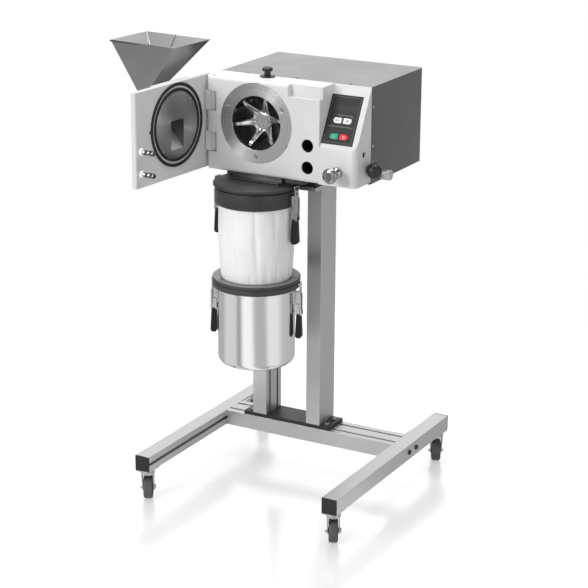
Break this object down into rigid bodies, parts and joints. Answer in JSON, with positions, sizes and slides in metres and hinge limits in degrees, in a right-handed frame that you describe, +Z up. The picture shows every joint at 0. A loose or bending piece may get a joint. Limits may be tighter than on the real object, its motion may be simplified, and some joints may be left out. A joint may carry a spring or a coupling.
{
  "type": "analytical lab mill",
  "caption": "Cutting mill on a castor stand, with a swing door and hopper, a bladed rotor in a sieve chamber, and a filter sleeve above a clamped vessel.",
  "frame": {"origin": "the middle of the stand on the floor", "axes": "+Z up, -Y toward the operator at the front, +X to the operator's right"},
  "size_m": [0.739, 0.6993, 1.139],
  "materials": {
    "profile": "satin anodised",
    "cap_black": "matt",
    "zinc": "zinc plated",
    "dark_screws": "blackened",
    "foot_black": "satin black",
    "plate_grey": "satin",
    "tyre_grey": "matt",
    "casing_grey": "fine powder coat",
    "shell_white": "satin powder coat",
    "steel": "brushed",
    "dark_steel": "brushed",
    "cast_steel": "machined",
    "motor_paint": "satin",
    "black_plastic": "matt",
    "panel_black": "gloss film",
    "key_blue": "satin film",
    "key_green": "satin film",
    "key_red": "satin film",
    "chrome": "polished",
    "ball_black": "polished",
    "seal_black": "matt",
    "hopper_steel": "satin ground",
    "lid_black": "satin",
    "cloth_white": "woven felt",
    "ring_grey": "satin",
    "vessel_steel": "satin",
    "lever_grip": "chrome cheeks with a black grip"
  },
  "bodies": {
    "stand": {"left_leg": "profile", "right_leg": "profile", "crossbeam": "profile", "end_caps": "cap_black", "stand_brackets": "zinc", "fasteners": "dark_screws", "foot_plate": "foot_black", "left_column": "profile", "right_column": "profile", "support_plate": "plate_grey", "chassis": "foot_black", "casing": "casing_grey", "front_shell": "shell_white", "power_inlet": "black_plastic", "chamber": "cast_steel", "chamber_ring": "steel", "sieve": "dark_steel", "stator_bars": "steel", "shaft_bearings": "cast_steel", "motor": "motor_paint", "outlet_adapter": "black_plastic", "control_panel": "panel_black", "latch_sockets": "black_plastic", "hinge_pin": "zinc", "lid": "lid_black", "filter_sleeve": "cloth_white", "lower_ring": "ring_grey", "vessel": "vessel_steel", "clamp_bases": "chrome"},
    "front_left_fork": {"front_left_fork": "zinc"},
    "front_left_wheel": {"front_left_wheel": "tyre_grey"},
    "front_right_fork": {"front_right_fork": "zinc"},
    "front_right_wheel": {"front_right_wheel": "tyre_grey"},
    "rear_left_fork": {"rear_left_fork": "zinc"},
    "rear_left_wheel": {"rear_left_wheel": "tyre_grey"},
    "rear_right_fork": {"rear_right_fork": "zinc"},
    "rear_right_wheel": {"rear_right_wheel": "tyre_grey"},
    "door": {"door": "shell_white", "door_plate": "dark_steel", "door_seals": "seal_black", "latch_bolts": "chrome", "hopper": "hopper_steel"},
    "rotor": {"rotor": "cast_steel", "rotor_shaft": "steel"},
    "lock_lever": {"lever_arm": "chrome", "lever_ball": "ball_black"},
    "front_knob": {"front_knob": "chrome"},
    "pull_knob": {"pull_knob": "ball_black"},
    "minus_key": {"minus_key": "key_blue"},
    "plus_key": {"plus_key": "key_blue"},
    "start_key": {"start_key": "key_green"},
    "stop_key": {"stop_key": "key_red"},
    "upper_left_lever": {"upper_left_lever": "lever_grip"},
    "upper_left_loop": {"upper_left_loop": "chrome"},
    "upper_right_lever": {"upper_right_lever": "lever_grip"},
    "upper_right_loop": {"upper_right_loop": "chrome"},
    "lower_left_lever": {"lower_left_lever": "lever_grip"},
    "lower_left_loop": {"lower_left_loop": "chrome"},
    "lower_right_lever": {"lower_right_lever": "lever_grip"},
    "lower_right_loop": {"lower_right_loop": "chrome"}
  },
  "joints": [
    {"name": "front_left_swivel", "type": "hinge", "parent": "stand", "child": "front_left_fork", "pos_m": [-0.2655, -0.294, 0.08], "axis": [0, 0, 1], "continuous": true},
    {"name": "front_left_roll", "type": "hinge", "parent": "front_left_fork", "child": "front_left_wheel", "pos_m": [-0.27223, -0.28173, 0.03], "axis": [0.8767, 0.481, 0], "continuous": true},
    {"name": "front_right_swivel", "type": "hinge", "parent": "stand", "child": "front_right_fork", "pos_m": [0.2655, -0.294, 0.08], "axis": [0, 0, 1], "continuous": true},
    {"name": "front_right_roll", "type": "hinge", "parent": "front_right_fork", "child": "front_right_wheel", "pos_m": [0.25877, -0.28173, 0.03], "axis": [0.8767, 0.481, 0], "continuous": true},
    {"name": "rear_left_swivel", "type": "hinge", "parent": "stand", "child": "rear_left_fork", "pos_m": [-0.2655, 0.294, 0.08], "axis": [0, 0, 1], "continuous": true},
    {"name": "rear_left_roll", "type": "hinge", "parent": "rear_left_fork", "child": "rear_left_wheel", "pos_m": [-0.27223, 0.30627, 0.03], "axis": [0.8767, 0.481, 0], "continuous": true},
    {"name": "rear_right_swivel", "type": "hinge", "parent": "stand", "child": "rear_right_fork", "pos_m": [0.2655, 0.294, 0.08], "axis": [0, 0, 1], "continuous": true},
    {"name": "rear_right_roll", "type": "hinge", "parent": "rear_right_fork", "child": "rear_right_wheel", "pos_m": [0.25877, 0.30627, 0.03], "axis": [0.8767, 0.481, 0], "continuous": true},
    {"name": "door_hinge", "type": "hinge", "parent": "stand", "child": "door", "pos_m": [-0.192, -0.078, 0.9305], "axis": [0, 0, 1], "range_deg": [-9, 94.7]},
    {"name": "rotor_spin", "type": "hinge", "parent": "stand", "child": "rotor", "pos_m": [-0.0645, -0.05, 0.96], "axis": [0, 1, 0], "continuous": true},
    {"name": "lock_turn", "type": "hinge", "parent": "stand", "child": "lock_lever", "pos_m": [0.2097, 0.041, 0.839], "axis": [1, 0, 0], "range_deg": [-70, 0]},
    {"name": "front_knob_turn", "type": "hinge", "parent": "stand", "child": "front_knob", "pos_m": [0.159, -0.1, 0.8645], "axis": [0, -1, 0], "range_deg": [0, 90]},
    {"name": "pull_knob_lift", "type": "slide", "parent": "stand", "child": "pull_knob", "axis": [0, 0, 1], "range_m": [0, 0.006]},
    {"name": "minus_press", "type": "slide", "parent": "stand", "child": "minus_key", "axis": [0, 0.8814, -0.4723], "range_m": [0, 0.001], "stiffness_N_per_m": 400},
    {"name": "plus_press", "type": "slide", "parent": "stand", "child": "plus_key", "axis": [0, 0.8814, -0.4723], "range_m": [0, 0.001], "stiffness_N_per_m": 400},
    {"name": "start_press", "type": "slide", "parent": "stand", "child": "start_key", "axis": [0, 0.8814, -0.4723], "range_m": [0, 0.001], "stiffness_N_per_m": 400},
    {"name": "stop_press", "type": "slide", "parent": "stand", "child": "stop_key", "axis": [0, 0.8814, -0.4723], "range_m": [0, 0.001], "stiffness_N_per_m": 400},
    {"name": "upper_left_tip", "type": "hinge", "parent": "stand", "child": "upper_left_lever", "pos_m": [-0.174, -0.092, 0.752], "axis": [0, 1, 0], "range_deg": [0, 120]},
    {"name": "upper_left_loop_turn", "type": "hinge", "parent": "upper_left_lever", "child": "upper_left_loop", "pos_m": [-0.177, -0.092, 0.742], "axis": [0, 1, 0], "range_deg": [-144, 0]},
    {"name": "upper_right_tip", "type": "hinge", "parent": "stand", "child": "upper_right_lever", "pos_m": [0.045, -0.092, 0.752], "axis": [0, -1, 0], "range_deg": [0, 120]},
    {"name": "upper_right_loop_turn", "type": "hinge", "parent": "upper_right_lever", "child": "upper_right_loop", "pos_m": [0.048, -0.092, 0.742], "axis": [0, -1, 0], "range_deg": [-144, 0]},
    {"name": "lower_left_tip", "type": "hinge", "parent": "stand", "child": "lower_left_lever", "pos_m": [-0.16976, -0.12218, 0.5], "axis": [-0.2756, 0.9613, 0], "range_deg": [0, 120]},
    {"name": "lower_left_loop_turn", "type": "hinge", "parent": "lower_left_lever", "child": "lower_left_loop", "pos_m": [-0.17264, -0.12301, 0.49], "axis": [-0.2756, 0.9613, 0], "range_deg": [-144, 0]},
    {"name": "lower_right_tip", "type": "hinge", "parent": "stand", "child": "lower_right_lever", "pos_m": [0.04076, -0.06182, 0.5], "axis": [0.2756, -0.9613, 0], "range_deg": [0, 120]},
    {"name": "lower_right_loop_turn", "type": "hinge", "parent": "lower_right_lever", "child": "lower_right_loop", "pos_m": [0.04364, -0.06099, 0.49], "axis": [0.2756, -0.9613, 0], "range_deg": [-144, 0]}
  ],
  "couplings": [
    {"joint": "upper_left_loop_turn", "follows": "upper_left_tip", "ratio": -1.2},
    {"joint": "upper_right_loop_turn", "follows": "upper_right_tip", "ratio": -1.2},
    {"joint": "lower_left_loop_turn", "follows": "lower_left_tip", "ratio": -1.2},
    {"joint": "lower_right_loop_turn", "follows": "lower_right_tip", "ratio": -1.2}
  ]
}
